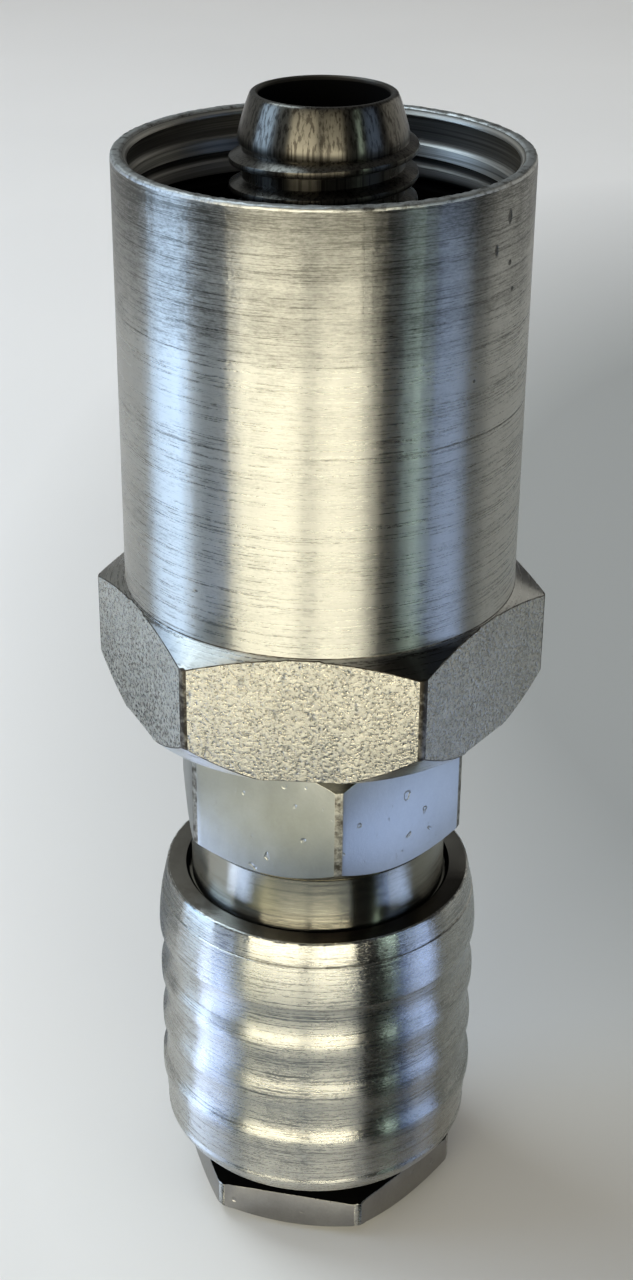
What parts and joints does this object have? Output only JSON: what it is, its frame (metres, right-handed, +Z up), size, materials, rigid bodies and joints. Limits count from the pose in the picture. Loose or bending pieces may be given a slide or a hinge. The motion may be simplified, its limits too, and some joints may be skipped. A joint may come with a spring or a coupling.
{
  "type": "hose coupling",
  "caption": "Steel hydraulic hose coupling: ball-lock quick-release halves joined, with a grooved sleeve, two hexagons and a cup socket for the hose end.",
  "frame": {"origin": "centre of the plug hexagon's lower face, on the axis that all the turned pieces share", "axes": "+Z up along that axis, towards the hose end; -Y faces the viewer; +X to the right"},
  "size_m": [0.0366, 0.0332, 0.0984],
  "materials": {
    "worn_steel": "satin, worn and slightly browned",
    "spring_steel": "satin",
    "ball_steel": "polished",
    "seal_rubber": "matt",
    "ring_plastic": "matt"
  },
  "bodies": {
    "plug": {"plug_body": "worn_steel", "plug_valve_guide": "worn_steel", "plug_guide_clip": "spring_steel", "plug_valve_spring": "spring_steel"},
    "coupler": {"socket": "worn_steel", "hose_tail": "worn_steel", "body_seal": "seal_rubber", "coupler_body": "worn_steel", "locking_balls": "ball_steel", "sleeve_stop_ring": "spring_steel", "mouth_seal": "seal_rubber", "back_up_ring": "ring_plastic", "coupler_valve_guide": "worn_steel", "coupler_guide_clip": "spring_steel", "coupler_valve_spring": "spring_steel"},
    "spring_of_sleeve": {"sleeve_spring": "spring_steel"},
    "sleeve": {"locking_sleeve": "worn_steel"},
    "coupler_valve": {"coupler_valve": "worn_steel", "coupler_valve_seal": "seal_rubber"},
    "plug_valve": {"plug_valve": "worn_steel", "plug_valve_seal": "seal_rubber"}
  },
  "joints": [
    {"name": "plug_swivel", "type": "hinge", "parent": "plug", "child": "coupler", "pos_m": [0, 0, 0.0126], "axis": [0, 0, 1], "continuous": true},
    {"name": "sleeve_spin", "type": "hinge", "parent": "coupler", "child": "spring_of_sleeve", "pos_m": [0, 0, 0.02], "axis": [0, 0, 1], "continuous": true},
    {"name": "sleeve_slide", "type": "slide", "parent": "spring_of_sleeve", "child": "sleeve", "axis": [0, 0, 1], "range_m": [0, 0.0045], "stiffness_N_per_m": 2000, "springref_m": -0.005, "deforming": ["sleeve_spring"]},
    {"name": "coupler_valve_slide", "type": "slide", "parent": "coupler", "child": "coupler_valve", "axis": [0, 0, 1], "range_m": [-0.0018, 0.0018], "stiffness_N_per_m": 1000, "deforming": ["coupler_valve_spring"]},
    {"name": "plug_valve_slide", "type": "slide", "parent": "plug", "child": "plug_valve", "axis": [0, 0, 1], "range_m": [-0.0018, 0.0018], "stiffness_N_per_m": 1000, "deforming": ["plug_valve_spring"]}
  ],
  "couplings": [
    {"joint": "plug_valve_slide", "follows": "coupler_valve_slide", "ratio": 1}
  ]
}
